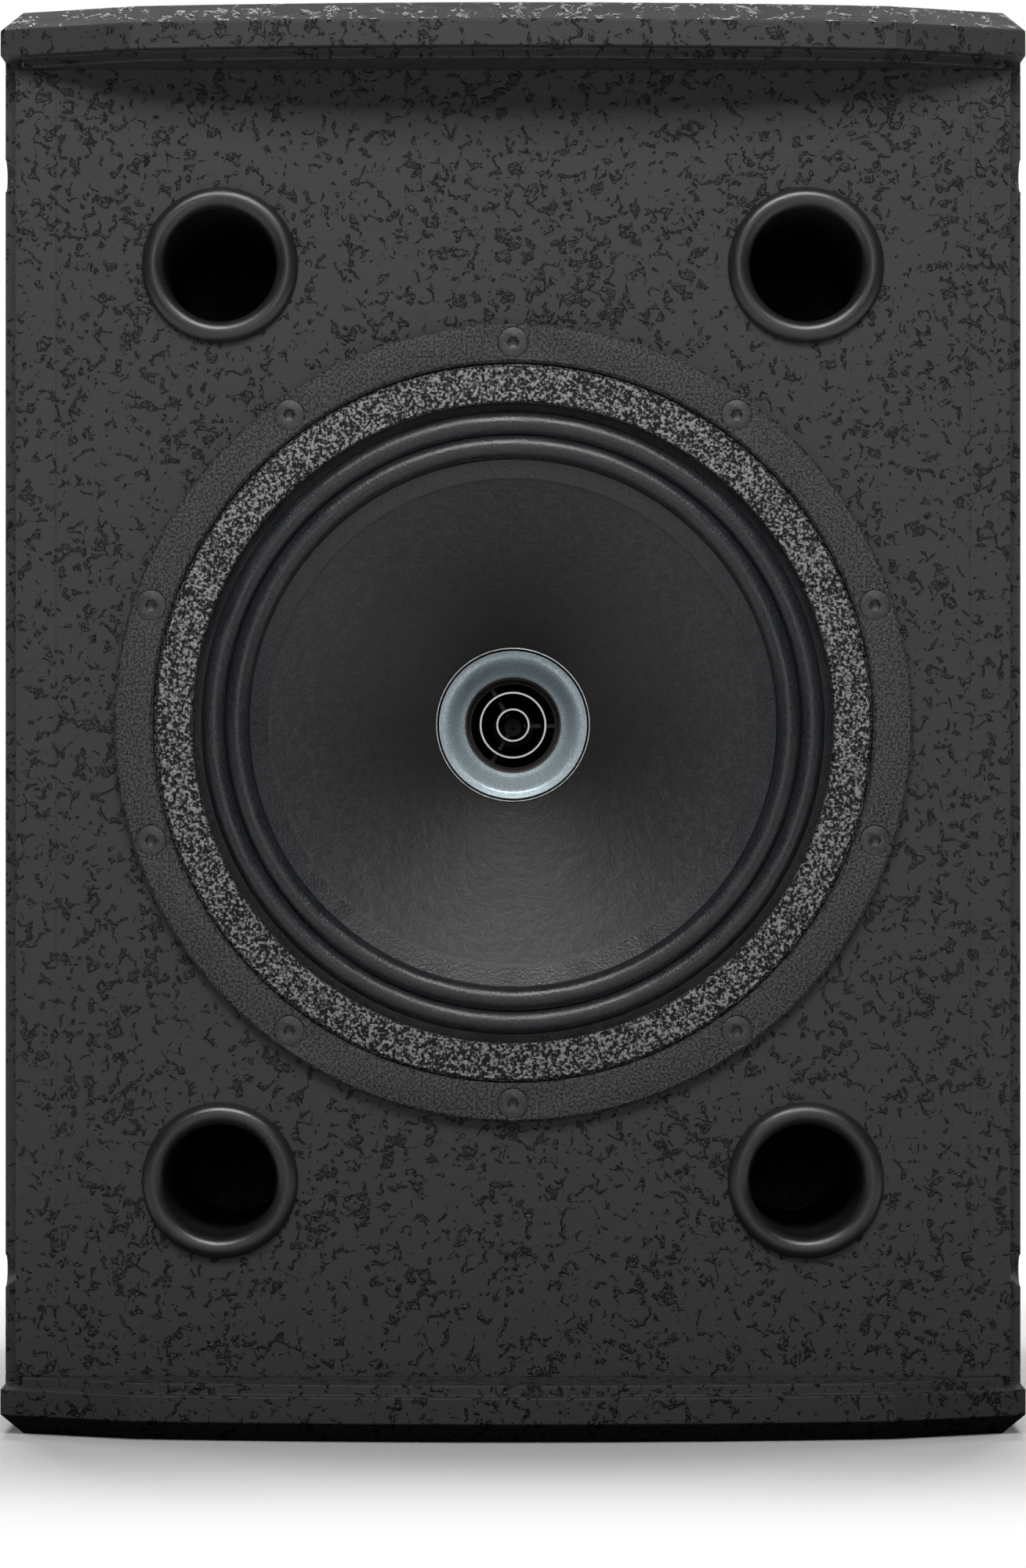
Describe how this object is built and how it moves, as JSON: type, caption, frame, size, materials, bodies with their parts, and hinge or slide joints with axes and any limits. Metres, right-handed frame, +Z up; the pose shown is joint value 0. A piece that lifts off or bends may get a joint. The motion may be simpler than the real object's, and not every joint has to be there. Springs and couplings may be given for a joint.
{
  "type": "pa speaker cabinet",
  "caption": "Upright two-way loudspeaker cabinet with a coaxial driver, corner ports, bowed chamfered top and bottom panels, side handles, rigging points and a pole socket.",
  "frame": {"origin": "on the floor, under the middle of the cabinet", "axes": "+Z up, -Y out of the front baffle, +X to the right seen from the front"},
  "size_m": [0.41, 0.33, 0.57],
  "materials": {
    "textured_paint": "black polyurethane paint with a coarse spatter texture, over birch plywood",
    "bare_plywood": "unpainted birch plywood and softwood, planed",
    "polyester_wadding": "loose black polyester wadding",
    "port_moulding": "black injection-moulded ABS with a fine satin grain",
    "trim_powder_coat": "fine-textured black powder coat on pressed steel",
    "blackened_steel": "black oxide socket screws, satin",
    "zinc_steel": "bright zinc-plated steel",
    "frame_powder_coat": "coarse black powder coat on die-cast aluminium",
    "surround_cloth": "doped black cotton cloth, matt with a slight sheen",
    "cone_paper": "black dyed long-fibre paper pulp, matt",
    "former_foil": "rolled aluminium foil",
    "copper_wire": "enamelled copper wire",
    "spider_cloth": "phenolic-dipped cotton cloth",
    "ferrite": "dark grey sintered ferrite",
    "waveguide_lacquer": "turned aluminium with a blue-grey satin lacquer",
    "plug_metal": "blackened aluminium with bright turned edges",
    "diaphragm_metal": "thin drawn aluminium, anodised black",
    "black_plastic": "black glass-filled nylon",
    "circuit_board": "green solder resist on glass-epoxy board",
    "capacitor_film": "blue polyester wrap",
    "resistor_cement": "cement-filled ceramic body",
    "wire_insulation": "red PVC insulation",
    "plate_powder_coat": "satin black powder coat on pressed steel",
    "foam_gasket": "closed-cell neoprene foam",
    "handle_moulding": "black moulded polypropylene with a leather grain",
    "insert_brass": "machined brass"
  },
  "bodies": {
    "cabinet": {"top_panel": "textured_paint", "bottom_panel": "textured_paint", "left_side_panel": "textured_paint", "right_side_panel": "textured_paint", "baffle": "textured_paint", "rear_panel": "textured_paint", "cross_brace": "bare_plywood", "glue_blocks": "bare_plywood", "damping_lining": "polyester_wadding", "port_tube_top_left": "port_moulding", "port_tube_top_right": "port_moulding", "port_tube_bottom_left": "port_moulding", "port_tube_bottom_right": "port_moulding", "trim_ring": "trim_powder_coat", "trim_screws": "blackened_steel", "tee_nuts": "zinc_steel", "driver_frame": "frame_powder_coat", "surround": "surround_cloth", "spider": "spider_cloth", "front_pole_plate": "zinc_steel", "magnet_ring": "ferrite", "pole_piece": "zinc_steel", "waveguide": "waveguide_lacquer", "phase_plug": "plug_metal", "hf_magnet": "ferrite", "hf_pole_plate": "zinc_steel", "hf_mount_ring": "black_plastic", "hf_rear_cover": "black_plastic", "hf_cover_screws": "blackened_steel", "driver_terminals": "black_plastic", "tinsel_leads": "copper_wire", "crossover_board": "circuit_board", "board_standoffs": "black_plastic", "crossover_coils": "copper_wire", "crossover_capacitors": "capacitor_film", "crossover_resistors": "resistor_cement", "internal_wiring": "wire_insulation", "input_plate": "plate_powder_coat", "input_plate_gasket": "foam_gasket", "input_plate_screws": "blackened_steel", "input_socket_left": "black_plastic", "input_socket_right": "black_plastic", "socket_screws": "zinc_steel", "mode_switch_body": "black_plastic", "left_handle": "handle_moulding", "right_handle": "handle_moulding", "left_handle_bar": "handle_moulding", "right_handle_bar": "handle_moulding", "handle_screws": "blackened_steel", "rigging_inserts": "zinc_steel", "grille_inserts": "insert_brass", "pole_socket": "handle_moulding", "pole_socket_screws": "blackened_steel"},
    "cone_assembly": {"cone": "cone_paper", "coil_former": "former_foil", "voice_coil": "copper_wire"},
    "hf_dome": {"hf_diaphragm": "diaphragm_metal", "hf_voice_coil": "copper_wire"},
    "mode_knob": {"mode_switch_knob": "black_plastic"}
  },
  "joints": [
    {"name": "cone_travel", "type": "slide", "parent": "cabinet", "child": "cone_assembly", "axis": [0, -1, 0], "range_m": [-0.006, 0.006], "stiffness_N_per_m": 5000, "deforming": ["surround", "spider", "tinsel_leads"]},
    {"name": "hf_dome_travel", "type": "slide", "parent": "cabinet", "child": "hf_dome", "axis": [0, 1, 0], "range_m": [-0.0004, 0.0004], "stiffness_N_per_m": 8000},
    {"name": "mode_select", "type": "hinge", "parent": "cabinet", "child": "mode_knob", "pos_m": [0, 0.131, 0.15], "axis": [0, 1, 0], "range_deg": [0, 60]}
  ]
}
